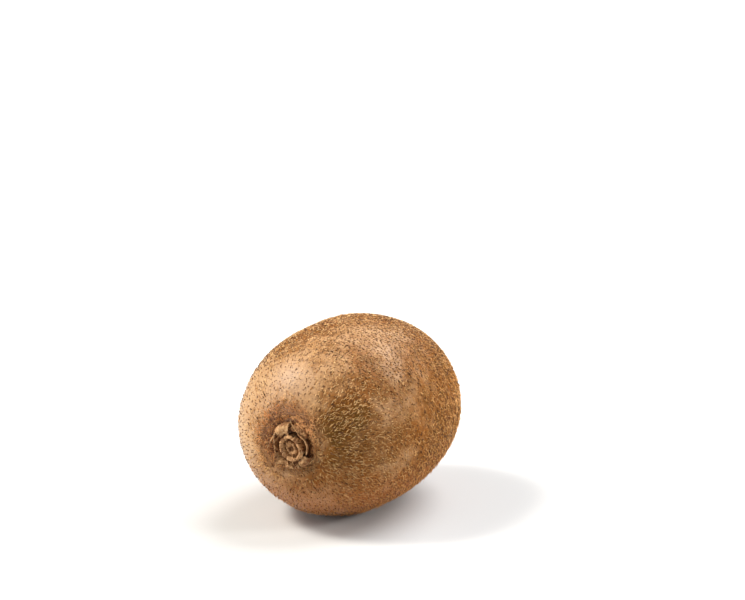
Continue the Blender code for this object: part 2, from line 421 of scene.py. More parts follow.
button = build_up("stem_scar", BUTTON_PROFILE, BUTTON_SIDES)
close_ends()
face_outwards()
bpy.ops.object.mode_set(mode="OBJECT")
softened = button.modifiers.new("softened", "SUBSURF")
softened.levels = 2
softened.render_levels = 2
finish_modifiers(button)
print("the scar has", triangles(button), "triangles")

# %% [markdown]
# So far it is as smooth as a turned bead. Now its points are moved: the grain runs out from the
# axis, so its noise is slow along the radius and fast round it. Cracks split the ring, one side of
# the ring has worn lower, and the pip is drawn out along a line.

# %% Crack and crumble the scar
# The pip's line leans this far, in degrees
PIP_LEAN = 122
PIP_LENGTH = 1.22
PIP_WIDTH = 0.84
BUTTON_WAVES = ((2, 0.03, 2.4), (3, 0.02, 1.7), (7, 0.012, 0.2))
GRAIN_SIZE = 0.34 * MM
GRAIN_HEIGHT = 0.26 * MM
GRAIN_RADIUS = 3 * MM
CRUMB_SIZE = 0.5 * MM
CRUMB_HEIGHT = 0.1 * MM
CRACK_COUNT = 9
CRACK_DEPTH = 0.3 * MM
CRACK_WANDER = 1.3
CRACK_WIDTH = 0.16
# The ring has worn lower by this much, on the side at this angle
RIM_FALL = 0.3 * MM
WORN_SIDE = 1.1

# On the axis the angle hangs on a last digit, so those are dropped, and every run gives the same
turned = points_of(button).round(8) + 0.0
radius, around = polar(turned)
up = turned[:, 2]
along_grain = (radius + up) * 0.35 / GRAIN_RADIUS
round_axis = np.column_stack([np.cos(around), np.sin(around), along_grain]) * GRAIN_RADIUS
grain = rough(round_axis, GRAIN_SIZE, seed=3)
crumbs = rough(turned, CRUMB_SIZE, seed=4)
crack_phase = CRACK_COUNT * around / 2 + CRACK_WANDER * rough(turned, 1.5 * MM, seed=8)
crack = np.exp(-((np.sin(crack_phase) / CRACK_WIDTH) ** 2)) * smooth(up, 1.2 * MM, 2.6 * MM)
worn = GRAIN_HEIGHT * grain * 0.7 + CRUMB_HEIGHT * crumbs - CRACK_DEPTH * crack
on_rim = smooth(radius, 1.8 * MM, 3.0 * MM) * smooth(up, 0.6 * MM, 2 * MM)
rim_fall = RIM_FALL * np.cos(around - WORN_SIDE) * on_rim
lean = around - math.radians(PIP_LEAN)
drawn_out = np.hypot(PIP_LENGTH * np.cos(lean), PIP_WIDTH * np.sin(lean))
pip_share = 1 - smooth(radius, 1.75 * MM, 2.9 * MM)
shape = waves_at(BUTTON_WAVES, around) * (1 + (drawn_out - 1) * pip_share)
off_axis = smooth(radius, 0.3 * MM, 1.2 * MM)
set_points(button, at_stem((radius + worn * off_axis) * shape, around, up + worn * 0.8 + rim_fall))
bpy.ops.object.shade_smooth()
print("the deepest wear is", round(float(-worn.min()) / MM, 2), "mm")

# %% [markdown]
# ## The dried sepals
#
# Five sepals once held the flower. What is left of them stands round the scar as seven brown
# scraps, grown together at their feet. Cloth would drape, but these are stiff and dry, and each has
# its own pose in the portrait: one folds in over the scar, one leans back, one stands like a thin
# wall, one is rolled up in a ball, and the lowest are crumpled. So each is a grid laid along a route
# of its own. Noise frays its sides and crumples it before it gets its thickness.

# %% Bend the sepals
SEPAL_THICKNESS = 0.27 * MM
SEPAL_GRID = 42
SEPAL_CUP = 0.35 * MM
# How far noise shortens or lengthens a sepal's tip, and narrows or widens its sides
TIP_TEAR = 0.1
SIDE_FRAY = 0.22
# Where each grows round the scar, in degrees; its width in millimetres; how far it swings aside
# from root to tip, in degrees; how much it crumples; how much painted light it keeps, lower values
# being painted shade; and its route from root to tip, as radii and heights in millimetres
SEPALS = (
    (116, 4.1, 0, 0.32, 1.0, ((6.0, 0.2), (6.6, 1.4), (6.7, 2.6), (6.0, 3.4), (4.9, 3.6), (4.1, 3.1))),
    (65, 5.8, 0, 0.5, 0.7, ((5.7, 0.2), (6.0, 1.1), (5.9, 2.0), (5.4, 2.6), (4.9, 2.7))),
    (24, 7.0, 0, 0.2, 0.85, ((3.9, 0.4), (4.3, 1.6), (4.8, 2.8), (5.4, 3.9))),
    (321, 3.4, 0, 0.35, 0.8, ((5.2, 0.2), (5.9, 1.3), (5.6, 2.6), (4.8, 3.1), (4.1, 2.7), (4.2, 1.9))),
    (264, 4.6, 10, 0.9, 1.0, ((4.4, 0.3), (5.0, 1.0), (5.3, 1.7), (5.4, 2.4))),
    (230, 4.0, -10, 0.9, 1.0, ((4.5, 0.2), (5.1, 1.0), (5.6, 1.6), (5.9, 2.1))),
    (171, 4.0, 0, 0.2, 0.6, ((4.7, 0.2), (4.9, 1.8), (4.9, 2.9))),
)


def along_route(route, share):
    """Radii and heights at these shares of a smooth line through the route's points."""
    route = np.array(route) * MM
    stations = np.linspace(0, 1, len(route))
    soft = np.clip(share[:, None] + np.linspace(-0.12, 0.12, 9)[None, :], 0, 1)
    return [np.interp(soft, stations, route[:, axis]).mean(axis=1) for axis in (0, 1)]


def bend_sepal(number, place, width, swing, crumpling, painted_light, route):
    """One sepal: a grid laid along its route, ragged at its tip, crumpled and given a thickness."""
    fresh_start()
    bpy.ops.mesh.primitive_grid_add(x_subdivisions=SEPAL_GRID, y_subdivisions=SEPAL_GRID, size=2)
    piece = named(f"sepal_{number}")
    flat = points_of(piece)
    side = flat[:, 0]
    share = (flat[:, 1] + 1) / 2
    torn = 1 + TIP_TEAR * rough(np.column_stack([side, side * 0, side * 0]), 0.42, seed=number + 20)
    radius, height = along_route(route, np.clip(share * torn, 0, 1))
    each_side = np.column_stack([np.sign(side) * 2, share * 2, side * 0])
    frayed = 1 + SIDE_FRAY * rough(each_side, 0.5, seed=number + 50)
    reach = width * MM / 2 * (1 - 0.12 * share - 0.35 * share**3) * frayed
    around = np.radians(place + swing * share) + side * reach / (0.6 * radius.min() + 0.4 * radius)
    wrinkled = np.column_stack([flat[:, 0], flat[:, 1] * 0.45, flat[:, 2]])
    crumple = crumpling * MM * smooth(share, 0.05, 0.6) * (
        rough(flat, 0.55, seed=number + 30) + 0.6 * rough(wrinkled, 0.17, seed=number + 40)
    )
    cupped = -SEPAL_CUP * side**2 * smooth(share, 0, 0.5)
    set_points(piece, at_stem(radius + cupped + crumple, around, height + crumple * 0.7))
    # Painted shade: each sepal is darkened by its own share, and more towards its foot
    set_attribute(piece.data, "painted_light", painted_light * smooth(share, 0, 0.7))
    thick = piece.modifiers.new("thick", "SOLIDIFY")
    thick.thickness = SEPAL_THICKNESS
    thick.offset = 0
    finish_modifiers(piece)
    return piece


sepals = [bend_sepal(number, *pose) for number, pose in enumerate(SEPALS)]
print("the sepals have", sum(triangles(piece) for piece in sepals), "triangles")

# %% [markdown]
# Where a sepal has torn, its vein still stands like a wire. It could be a very narrow grid, but a
# strip that thin goes dark when it is seen from its side. A path with a bevel is round, so it looks
# the same from everywhere.

# %% Lay the torn edges
# How thick each is, and five places along it: angle, radius and height
TORN_EDGES = (
    (0.2, ((136, 5.8, 3.3), (148, 5.5, 3.0), (168, 6.0, 2.6), (183, 7.2, 1.9), (194, 8.0, 1.3))),
    (0.17, ((150, 5.5, 3.0), (168, 5.0, 2.8), (182, 4.8, 2.5), (192, 5.5, 2.1), (217, 5.8, 1.4))),
    (0.2, ((302, 2.9, 3.3), (285, 3.0, 3.2), (275, 3.4, 2.9), (272, 4.1, 2.5), (278, 4.8, 1.8))),
    (0.16, ((8, 3.2, 3.2), (-5, 3.6, 3.2), (-14, 3.7, 3.2), (-26, 3.7, 3.2), (-36, 4.1, 3.1))),
    (0.15, ((60, 4.6, 2.7), (72, 5.2, 2.9), (84, 5.8, 2.7), (92, 6.5, 2.2), (97, 7.2, 1.5))),
    (0.17, ((245, 4.4, 0.9), (249, 4.9, 1.8), (256, 5.3, 2.2), (265, 5.4, 1.9), (272, 5.2, 1.0))),
)
EDGE_WIDTHS = (0.8, 1.1, 1.0, 0.8, 0.4)


def round_path(name, places, widths, thickness):
    """A round path along five places, made a mesh. The widths are shares of its thickness."""
    fresh_start()
    bpy.ops.curve.primitive_nurbs_path_add()
    piece = named(name)
    path = piece.data
    path.bevel_depth = thickness
    path.bevel_resolution = 2
    path.use_fill_caps = True
    path.resolution_u = 4
    for point, place, width in zip(path.splines[0].points, places, widths):
        point.co = (*place, 1)
        point.radius = width
    bpy.ops.object.convert(target="MESH")
    return bpy.context.object


def lay_edge(number, thickness, places):
    """One torn edge: a round path that thins towards its end."""
    around, radius, height = np.array(places).T
    route = at_stem(radius * MM, np.radians(around), height * MM)
    piece = round_path(f"torn_edge_{number}", route, EDGE_WIDTHS, thickness * MM)
    # The torn edges get no painted shade
    set_attribute(piece.data, "painted_light", np.ones(len(piece.data.vertices)))
    return piece


torn_edges = [lay_edge(number, *edge) for number, edge in enumerate(TORN_EDGES)]
print("the torn edges have", sum(triangles(piece) for piece in torn_edges), "triangles")

# %% [markdown]
# The sepals' feet have grown into one knobbly collar. It is built up as the scar was, but it is a
# ring with a hole, so its two borders are bridged and not filled. Then all of it is joined.

# %% Put the calyx together
COLLAR_PROFILE = ((4.05, -0.25), (4.05, 0.35), (4.5, 0.6), (5.6, 0.7), (6.3, 0.5), (6.4, -0.25))
COLLAR_SIDES = 64
KNOB_SIZE = 0.7 * MM
KNOB_HEIGHT = 0.16 * MM


def join_pieces(first, others):
    """Join pieces into the first one."""
    fresh_start()
    for piece in (first, *others):
        piece.select_set(True)
    bpy.context.view_layer.objects.active = first
    bpy.ops.object.join()
    return first


collar = build_up("dry_calyx", COLLAR_PROFILE, COLLAR_SIDES)
select_borders()
bpy.ops.mesh.bridge_edge_loops()
face_outwards()
bpy.ops.mesh.subdivide(number_cuts=2)
bpy.ops.object.mode_set(mode="OBJECT")
ring = points_of(collar)
radius, around = polar(ring)
knobbly = KNOB_HEIGHT * rough(ring, KNOB_SIZE, seed=12)
set_points(collar, at_stem(radius + knobbly, around, ring[:, 2] + knobbly))
calyx = join_pieces(collar, sepals + torn_edges)
bpy.ops.object.shade_smooth()
print("the calyx has", triangles(calyx), "triangles")

# %% [markdown]
# ## The star of dried styles
#
# The flower had a brush of thin styles in its middle. On the ripe fruit they are a small black
# star at the blossom end, on the side that this portrait doesn't show. Thin round things with a
# bend are what curves with a bevel are for: each style is a short path with a taper, made a mesh
# when it is right.

# %% Grow the styles
# Each kind of style: how many, how far they reach from their roots, and how thick they are
STYLES = (
    ("long_style", 6, (3.2 * MM, 4.6 * MM), 0.52 * MM),
    ("short_style", 13, (1.4 * MM, 2.8 * MM), 0.34 * MM),
    ("wisp", 26, (1.6 * MM, 4.0 * MM), 0.16 * MM),
)
STYLE_ROOT_RADIUS = 0.4 * MM
STYLE_CLEARANCE = 0.75 * MM
STYLE_ARCH = 0.7 * MM
STYLE_STEPS = 5
STYLE_THINNING = 0.5
STYLE_SEED = 11


def at_blossom(radius, around, height):
    """Points this high above the skin of the blossom end."""
    return MIDDLE + np.column_stack(
        [radius * np.cos(around), blossom_level(radius) + height, radius * np.sin(around)]
    )


def grow_style(name, draw, reach, thickness):
    """One style: a bevelled path that rises from the foot in a low arch and bends aside."""
    around = draw.uniform(0, 2 * math.pi)
    sway = draw.uniform(-0.5, 0.5)
    arch = STYLE_ARCH * draw.uniform(0.4, 1.2)
    share = np.linspace(0, 1, STYLE_STEPS)
    height = STYLE_CLEARANCE + PIT_DEPTH * (1 - share) + arch * np.sin(math.pi * share)
    route = at_blossom(STYLE_ROOT_RADIUS + reach * share, around + sway * share**2, height)
    return round_path(name, route, 1 - STYLE_THINNING * share, thickness)


draw = random.Random(STYLE_SEED)
styles = [
    grow_style(f"{kind}_{number}", draw, draw.uniform(*reaches), thickness)
    for kind, count, reaches, thickness in STYLES
    for number in range(count)
]
print(len(styles), "styles have grown")

# %% [markdown]
# They stand on a low foot that fills the pit. All of them are merged where they meet, and shrivelled
# a little by noise, as dried stalks are.

# %% Put the star together
STYLE_FOOT_PROFILE = ((2.0, -1.0), (2.0, 0.6), (1.7, 1.15), (1.1, 1.35), (0.4, 1.4))
STYLE_FOOT_SIDES = 32
SHRIVEL_SIZE = 0.4 * MM
SHRIVEL_HEIGHT = 0.07 * MM

star = build_up("style_star", STYLE_FOOT_PROFILE, STYLE_FOOT_SIDES)
close_ends()
bpy.ops.object.mode_set(mode="OBJECT")
foot = points_of(star)
radius, around = polar(foot)
set_points(star, at_blossom(radius, around, foot[:, 2]))
star = join_pieces(star, styles)
edit(star)
bpy.ops.mesh.select_all(action="SELECT")
bpy.ops.mesh.remove_doubles(threshold=0.002 * MM)
face_outwards()
bpy.ops.object.mode_set(mode="OBJECT")
plump = points_of(star)
shrivelled = SHRIVEL_HEIGHT * rough(plump, SHRIVEL_SIZE, seed=15)
set_points(star, plump + normals_of(star) * shrivelled[:, None])
bpy.ops.object.shade_smooth()
print("the star has", triangles(star), "triangles")

# %% [markdown]
# ## The coat of hairs
#
# The hairs are what makes a kiwi fruit a kiwi fruit. They are stiff, crooked bristles, a
# millimetre or two long, that lie almost flat. Blender's hair system would grow them in a moment,
# but hair curves don't survive an export, so these are real little meshes. They are a little
# thicker than the real ones, because a picture this size can't hold a thinner line.
#
# One strand is modelled, as a three-sided cone with a few rings cut into it, and then copied tens
# of thousands of times. Each copy costs its triangles, so there are three strands: a long one with
# four parts that can be crooked, a short one with two, and plain down. Copying that many with
# operators would take hours, so the copies are worked out as arrays, all at once.

# %% Model one strand


def model_strand(parts):
    """A three-sided spike from 0 to 1 along Z, cut into parts, as its points and triangles."""
    fresh_start()
    bpy.ops.mesh.primitive_cone_add(vertices=3, radius1=0.5, radius2=0, depth=1, location=(0, 0, 0.5))
    strand = named("strand")
    bpy.ops.object.transform_apply(location=True)
    edit(strand)
    for cut in range(1, parts):
        bpy.ops.mesh.select_all(action="SELECT")
        bpy.ops.mesh.bisect(plane_co=(0, 0, cut / parts), plane_no=(0, 0, 1))
    bpy.ops.mesh.select_all(action="SELECT")
    bpy.ops.mesh.quads_convert_to_tris()
    bpy.ops.object.mode_set(mode="OBJECT")
    points = points_of(strand)
    # A spike thins evenly. A hair keeps most of its thickness until near its tip.
    points[:, :2] *= 1 + points[:, 2:]
    corners = np.array([face.vertices[:] for face in strand.data.polygons])
    bpy.data.objects.remove(strand)
    return points, corners


long_strand = model_strand(4)
short_strand = model_strand(2)
down_strand = model_strand(1)
for points, corners in (long_strand, short_strand, down_strand):
    print("a strand of", len(points), "points and", len(corners), "triangles")

# %% [markdown]
# The coat isn't equally thick all over. Noise thins it here and there, and a short list of patches
# says where handling has rubbed it off. It could be painted by hand, but a formula can be asked at
# any place, so the skin's finish reads the same numbers as the hairs do.

# %% Wear the coat
STEM_POLE = MIDDLE + np.array([0, -stem_level(0.0), 0])
BLOSSOM_POLE = MIDDLE + np.array([0, blossom_level(0.0), 0])
# Where the coat is rubbed off: the middle of each patch from the barrel's middle, its radius in
# millimetres, and the share of the hairs that is left
RUBBED_PATCHES = (
    ((-3.0, -28.0, 14.5), 14.0, 0.05),
    ((-18.0, -25.0, -5.0), 18.0, 0.1),
    ((-21.0, -18.0, 12.0), 13.0, 0.15),
    ((10.0, -5.0, 22.0), 18.0, 0.45),
    ((22.0, -20.0, 1.0), 12.0, 0.6),
    ((1.0, -25.0, -20.0), 17.0, 0.35),
    ((4.5, -31.5, 8.0), 6.0, 0.7),
)
# A patch is worn through out to the first share of its radius, and its border ends at the second
PATCH_BORDER = (0.3, 1.45)


def distance_from(places, centre):
    """How far each place is from a point."""
    return np.linalg.norm(places - centre, axis=1)


def coat_thickness(places):
    """How thick the coat grows, as a share of its usual thickness."""
    thickness = 1 + 0.5 * rough(places, 8 * MM, seed=41) + 0.3 * rough(places, 2.5 * MM, seed=42)
    ragged = 4 * MM * rough(places, 6 * MM, seed=43) + 2.2 * MM * rough(places, 2 * MM, seed=44)
    inner, outer = PATCH_BORDER
    for centre, size, left in RUBBED_PATCHES:
        away = distance_from(places - MIDDLE, np.array(centre) * MM) + ragged
        thickness *= 1 - (1 - left) * (1 - smooth(away, size * inner * MM, size * outer * MM))
    scar = distance_from(places, STEM_POLE)
    thickness = np.maximum(thickness, 0) * (0.75 + 0.25 * smooth(scar, 7.5 * MM, 10 * MM))
    # None grows under the scar, in the pit of the star, or where the fruit rests
    thickness *= smooth(scar, 5.4 * MM, 6.2 * MM)
    thickness *= smooth(distance_from(places, BLOSSOM_POLE), 1.9 * MM, 2.6 * MM)
    return np.maximum(thickness, 0) * (places[:, 2] > 0.05 * MM)


skin_places = points_of(skin)
skin_normals = normals_of(skin)
skin_coat = np.clip(coat_thickness(skin_places), 0, 1)
set_attribute(skin.data, "coat", skin_coat)
print("the coat is worn by half or more at", round(100 * np.mean(skin_coat < 0.5)), "% of the points")

# %% [markdown]
# A root is a place on the skin, so roots are dropped on the skin's own triangles, each with a chance
# that goes with its area and its coat. The steps of the draw are even, so that no clumps form.

# %% Drop the roots
skin.data.calc_loop_triangles()
skin_corners = np.array([triangle.vertices[:] for triangle in skin.data.loop_triangles])
face_places = skin_places[skin_corners]
face_middles = face_places.mean(axis=1)
face_areas = np.linalg.norm(
    np.cross(face_places[:, 1] - face_places[:, 0], face_places[:, 2] - face_places[:, 0]), axis=1
) / 2


def drop_roots(count, draw, weights):
    """Places on the skin and its normals there, spread by the weights of its triangles."""
    ladder = np.cumsum(weights)
    steps = (np.arange(count) + draw.random(count)) / count * ladder[-1]
    faces = np.minimum(np.searchsorted(ladder, steps), len(ladder) - 1)
    one, two = draw.random((2, count))
    over = one + two > 1
    one[over], two[over] = 1 - one[over], 1 - two[over]
    shares = np.column_stack([1 - one - two, one, two])[:, :, None]
    places = (skin_places[skin_corners[faces]] * shares).sum(axis=1)
    normals = (skin_normals[skin_corners[faces]] * shares).sum(axis=1)
    return places, normals / np.linalg.norm(normals, axis=1, keepdims=True)


print("the skin covers", round(face_areas.sum() / MM**2 / 100, 1), "square centimetres")

# %% [markdown]
# The direction of a hair follows the fruit: away from the scar near it, and round the fruit's waist
# further on, with slow swirls and a good deal of disorder.

# %% Comb the hairs
# How far the hairs have turned from lengthwise at the waist, and how far swirls turn them, in degrees
WAIST_TURN = 80
SWIRL = 36


def on_top(places):
    """One on the upper side of the fruit, behind its stem end, and zero elsewhere."""
    from_axis = places - MIDDLE
    return smooth(from_axis[:, 2], 10 * MM, 20 * MM) * smooth(from_axis[:, 1], -27 * MM, -15 * MM)


def growth(places):
    """How long the hairs grow here, as a share of their usual length."""
    near_scar = 1 - smooth(distance_from(places, STEM_POLE), 12 * MM, 20 * MM)
    uneven = 1 + 0.25 * rough(places, 6 * MM, seed=45)
    return uneven * (1 - 0.3 * on_top(places)) * (1 + 0.15 * near_scar)


def unit(vectors):
    return vectors / np.maximum(np.linalg.norm(vectors, axis=1, keepdims=True), 1e-12)


def lie(places, normals, disorder, draw):
    """Which way each hair lies, along the skin, and the direction to its side."""
    waist = unit(np.cross([0.0, 1.0, 0.0], normals))
    away = np.cross(normals, waist)
    scar = distance_from(places, STEM_POLE)
    angle = math.radians(WAIST_TURN) * smooth(scar, 19 * MM, 32 * MM)
    angle += math.radians(SWIRL) * rough(places, 8 * MM, seed=51) * smooth(scar, 14 * MM, 26 * MM)
    angle += math.radians(disorder) * draw.standard_normal(len(places)) * smooth(scar, 2 * MM, 24 * MM)
    along = away * np.cos(angle)[:, None] + waist * np.sin(angle)[:, None]
    return along, np.cross(normals, along)


lengthening = growth(face_middles)
print("hairs grow to between", lengthening.min().round(2), "and", lengthening.max().round(2), "of usual")

# %% [markdown]
# Each hair is then a strand bent along its own line: it leans over from the skin, droops towards
# its tip, and wriggles to the side.

# %% Bend the copies
FLOOR_CLEARANCE = 0.03 * MM
ROOT_DEPTH = 0.04 * MM
# Hairs round the scar stand up by as much as this, in degrees
SCAR_LIFT = 14
MOST_DROOP = 0.75
# How far a crooked hair curls and wriggles aside, as shares of its length
CURL = 0.7
WRIGGLE = 0.22
# The most that one hair strays from the others, in standard deviations
STRAY_LIMIT = 1.5


def column(values):
    return values[:, None]


def strays(draw, count):
    """A number for each hair: most are near zero, and none is far from it."""
    return np.clip(draw.standard_normal(count), -STRAY_LIMIT, STRAY_LIMIT)


def bend_copies(points, roots, by_scar, lengths, widths, leans, crooked, disorder, draw):
    """Copy a strand's points to the roots, one row for each hair, and bend each row its own way."""
    places, normals = roots
    count = len(places)
    along, aside = lie(places, normals, disorder, draw)
    length = draw.uniform(*lengths, count) * MM * growth(places)
    width = draw.uniform(*widths, count) * MM
    lean = np.radians(draw.uniform(*leans, count) - SCAR_LIFT * by_scar * draw.random(count))
    droop = draw.uniform(0.0, MOST_DROOP, count) * np.cos(lean)
    curl = crooked * CURL * strays(draw, count)
    wriggle = crooked * WRIGGLE * strays(draw, count)
    waves = draw.uniform(0.7, 1.5, count)
    phase = draw.uniform(0, 2 * math.pi, count)
    share = points[:, 2][None, :]
    forwards = column(np.sin(lean)) * share - 0.25 * column(curl**2) * share**2
    upwards = column(np.cos(lean)) * share - column(droop) * share**2
    sideways = column(curl) * share**2 + column(wriggle) * (
        np.sin(2 * math.pi * column(waves) * share + column(phase)) - np.sin(column(phase))
    )
    line = (
        along[:, None, :] * forwards[..., None]
        + normals[:, None, :] * upwards[..., None]
        + aside[:, None, :] * sideways[..., None]
    ) * length[:, None, None]
    line += (places - normals * ROOT_DEPTH)[:, None, :]
    thick = width[:, None, None]
    body = line + aside[:, None, :] * points[None, :, 0:1] * thick
    body += normals[:, None, :] * points[None, :, 1:2] * thick
    body[..., 2] = np.maximum(body[..., 2], FLOOR_CLEARANCE)
    return body


# %% [markdown]
# The bent copies become one mesh. The places along each hair, its own shade and how near the scar it
# grows are kept as attributes for the finish. Its faces also get a small cell of their own in the
# piece's UV map, laid out like stamps on a sheet, so that the colours can be baked without one hair
# touching the next.

# %% Make a coat of them
# The ring round the scar, of reddish skin darkened by painted shade and of reddish hairs, is wider
# at its upper left
RING_MIDDLE = STEM_POLE + np.array([-1.4, 0, 2.0]) * MM


def mesh_of(name, points, corners):
    """A mesh of triangles, from its points and the three corners of each triangle."""
    mesh = bpy.data.meshes.new(name)
    mesh.vertices.add(len(points))
    mesh.vertices.foreach_set("co", points.astype(np.float32).ravel())
    mesh.loops.add(corners.size)
    mesh.loops.foreach_set("vertex_index", corners.astype(np.int32).ravel())
    mesh.polygons.add(len(corners))
    mesh.polygons.foreach_set("loop_start", np.arange(0, corners.size, 3, dtype=np.int32))
    mesh.update(calc_edges=True)
    return mesh


def stamp_sheet(points, count):
    """Where the points of each copy lie on the UV sheet: each copy has a small cell."""
    columns = math.ceil(math.sqrt(count))
    cell = 1 / columns
    stamp = np.column_stack([0.5 + 0.7 * points[:, 0], 0.1 + 0.8 * points[:, 2]])
    corner = np.column_stack([np.arange(count) % columns, np.arange(count) // columns])
    return ((corner[:, None, :] + stamp[None]) * cell).reshape(-1, 2)


def grow_coat(name, strand, roots, lengths, widths, leans, crooked, disorder, seed):
    """Copy a strand to many roots, as one piece. The roots are places on the skin and its normals."""
    draw = np.random.default_rng(seed)
    points, corners = strand
    places = roots[0]
    count = len(places)
    by_scar = 1 - smooth(distance_from(places, RING_MIDDLE), 7 * MM, 11 * MM)
    body = bend_copies(points, roots, by_scar, lengths, widths, leans, crooked, disorder, draw)
    first_points = np.arange(count) * len(points)
    all_corners = (corners[None] + first_points[:, None, None]).reshape(-1, 3)
    mesh = mesh_of(name, body.reshape(-1, 3), all_corners)

    shade = np.clip(0.5 + 0.2 * draw.standard_normal(count) + 0.18 * rough(places, 5 * MM, seed=61), 0, 1)
    every_point = (count, len(points))
    set_attribute(mesh, "tip", np.broadcast_to(points[:, 2], every_point))
    set_attribute(mesh, "shade", np.broadcast_to(column(shade), every_point))
    set_attribute(mesh, "by_scar", np.broadcast_to(column(by_scar), every_point))
    sheet = stamp_sheet(points, count)[all_corners.ravel()]
    mesh.uv_layers.new(name="OFBake").data.foreach_set("uv", sheet.astype(np.float32).ravel())

    piece = bpy.data.objects.new(name, mesh)
    bpy.context.scene.collection.objects.link(piece)
    print(name, "has", count, "hairs and", len(all_corners), "triangles")
    return piece


# %% [markdown]
# Six coats make up the fur, because no single kind of hair looks right everywhere. Straight ones
# grow near the stem end and crooked ones further on, over short ones and down. A reddish ring stands
# round the scar, and on top, where the coat is thin, short dark hairs lie as painted hair shadows.

# %% Grow the coats
scar_distance = distance_from(face_middles, STEM_POLE)
near_stem = 1 - 0.75 * smooth(scar_distance, 20 * MM, 34 * MM)
far_from_stem = 0.2 + 0.8 * smooth(scar_distance, 14 * MM, 28 * MM)
ring_distance = distance_from(face_middles, RING_MIDDLE)
ring = smooth(scar_distance, 5.6 * MM, 6.4 * MM) * (1 - smooth(ring_distance, 7.5 * MM, 11.5 * MM))
face_thickness = coat_thickness(face_middles)
face_coat = face_areas * face_thickness
face_ring = face_areas * ring
among_the_coat = 0.35 * np.minimum(face_thickness, 1) + on_top(face_middles)
face_dashes = face_areas * among_the_coat * smooth(scar_distance, 6 * MM, 8 * MM)
# Name, strand, how many, where they grow, lengths and widths in millimetres, leans in degrees, how
# crooked, disorder in degrees, and the seed of the draw
COATS = (
    (
        "straight_hairs", long_strand, 6500, face_coat * near_stem,
        (0.7, 1.5), (0.13, 0.17), (50, 78), 0.3, 20, 101,
    ),
    (
        "crooked_hairs", long_strand, 6500, face_coat * far_from_stem,
        (0.7, 1.6), (0.13, 0.17), (40, 74), 1.0, 65, 102,
    ),
    ("short_hairs", short_strand, 8500, face_coat, (0.4, 1.0), (0.13, 0.17), (40, 74), 0.7, 60, 103),
    ("down", down_strand, 3000, face_coat, (0.3, 0.7), (0.1, 0.14), (25, 75), 0.4, 90, 105),
    ("scar_hairs", long_strand, 1000, face_ring, (1.0, 2.2), (0.15, 0.2), (20, 68), 1.3, 70, 106),
    # Short dark hairs laid on top, where the coat is thin, as painted shadows of the hairs
    ("shadow_dashes", short_strand, 6500, face_dashes, (0.5, 1.2), (0.25, 0.36), (62, 86), 0.25, 18, 110),
)


def grow_on_roots(name, strand, count, weights, *looks):
    """Drop the roots and grow a coat on them."""
    seed = looks[-1]
    return grow_coat(name, strand, drop_roots(count, np.random.default_rng(seed + 50), weights), *looks)


*coat, shadow_dashes = [grow_on_roots(*kind) for kind in COATS]

# %% [markdown]
# Where the coat is rubbed off, each hair has left its dark stump. They stand evenly spaced, as the
# hairs did, so no more than one root is kept in each small box of space.

# %% Leave the stumps
STUMP_TRIES = 40000
STUMP_SPACING = 1.6 * MM
STUMP_SEED = 107
LOWEST_STUMP = 0.4 * MM
STUMPS_FROM_SCAR = 6.5 * MM


def spread_evenly(places, spacing):
    """The numbers of the first place in each small box of space."""
    boxes = np.floor(places / spacing).astype(int)
    return np.sort(np.unique(boxes, axis=0, return_index=True)[1])


draw = np.random.default_rng(STUMP_SEED)
places, normals = drop_roots(STUMP_TRIES, draw, face_areas * (face_middles[:, 2] > LOWEST_STUMP))
kept = spread_evenly(places, STUMP_SPACING)
kept = kept[distance_from(places[kept], STEM_POLE) > STUMPS_FROM_SCAR]
stumps = grow_coat(
    "stumps", down_strand, (places[kept], normals[kept]), (0.3, 0.6), (0.42, 0.66), (20, 70), 0.3, 60, 108
)

# %% [markdown]
# ## Finishes
#
# Every finish is worked out from the place on the piece, by noise, so no picture is laid on and
# nothing can run out; some of them paint shade into their colours. Node trees are easier to read as
# arithmetic than as a list of links, so a small class wraps a socket: adding or multiplying two of
# them adds the Math node that does it.

# %% A wrapper that turns arithmetic into nodes


class Wire:
    """A socket in a material's node tree. Arithmetic on wires adds Math nodes to the tree."""

    def __init__(self, tree, socket=None):
        self.tree = tree
        self.socket = socket

    def node(self, kind, settings, inputs, output=0):
        """Add any node: its settings first, then the values or wires of its sockets."""
        made = self.tree.nodes.new(kind)
        for name, value in settings.items():
            setattr(made, name, value)
        for name, value in inputs.items():
            if isinstance(value, Wire):
                self.tree.links.new(value.socket, made.inputs[name])
            else:
                made.inputs[name].default_value = value
        return Wire(self.tree, made.outputs[output])

    def maths(self, operation, *values):
        return self.node("ShaderNodeMath", {"operation": operation}, dict(enumerate(values)))

    def __add__(self, other):
        return self.maths("ADD", self, other)

    __radd__ = __add__

    def __mul__(self, other):
        return self.maths("MULTIPLY", self, other)

    __rmul__ = __mul__

    def __sub__(self, other):
        return self.maths("SUBTRACT", self, other)

    def __rsub__(self, other):
        return self.maths("SUBTRACT", other, self)

    def step(self, low, high):
        """Zero below low, one above high, and a soft step between."""
        return self.node(
            "ShaderNodeMapRange",
            {"interpolation_type": "SMOOTHSTEP"},
            {0: self, 1: low, 2: high, 3: 0.0, 4: 1.0},
        )

    def between(self, first, second):
        """Mix two colours by this wire."""
        return self.node("ShaderNodeMix", {"data_type": "RGBA"}, {0: self, 6: first, 7: second}, 2)


def rgb(red, green, blue):
    return (red, green, blue, 1.0)


print("a golden brown, as the finishes say it:", rgb(0.36, 0.19, 0.074))

# %% [markdown]
# Each finish starts in the same way: a material with its shader, and a bench to lay nodes out on.
# The few nodes that most finishes read from get a name of their own too.

# %% Tools for a finish


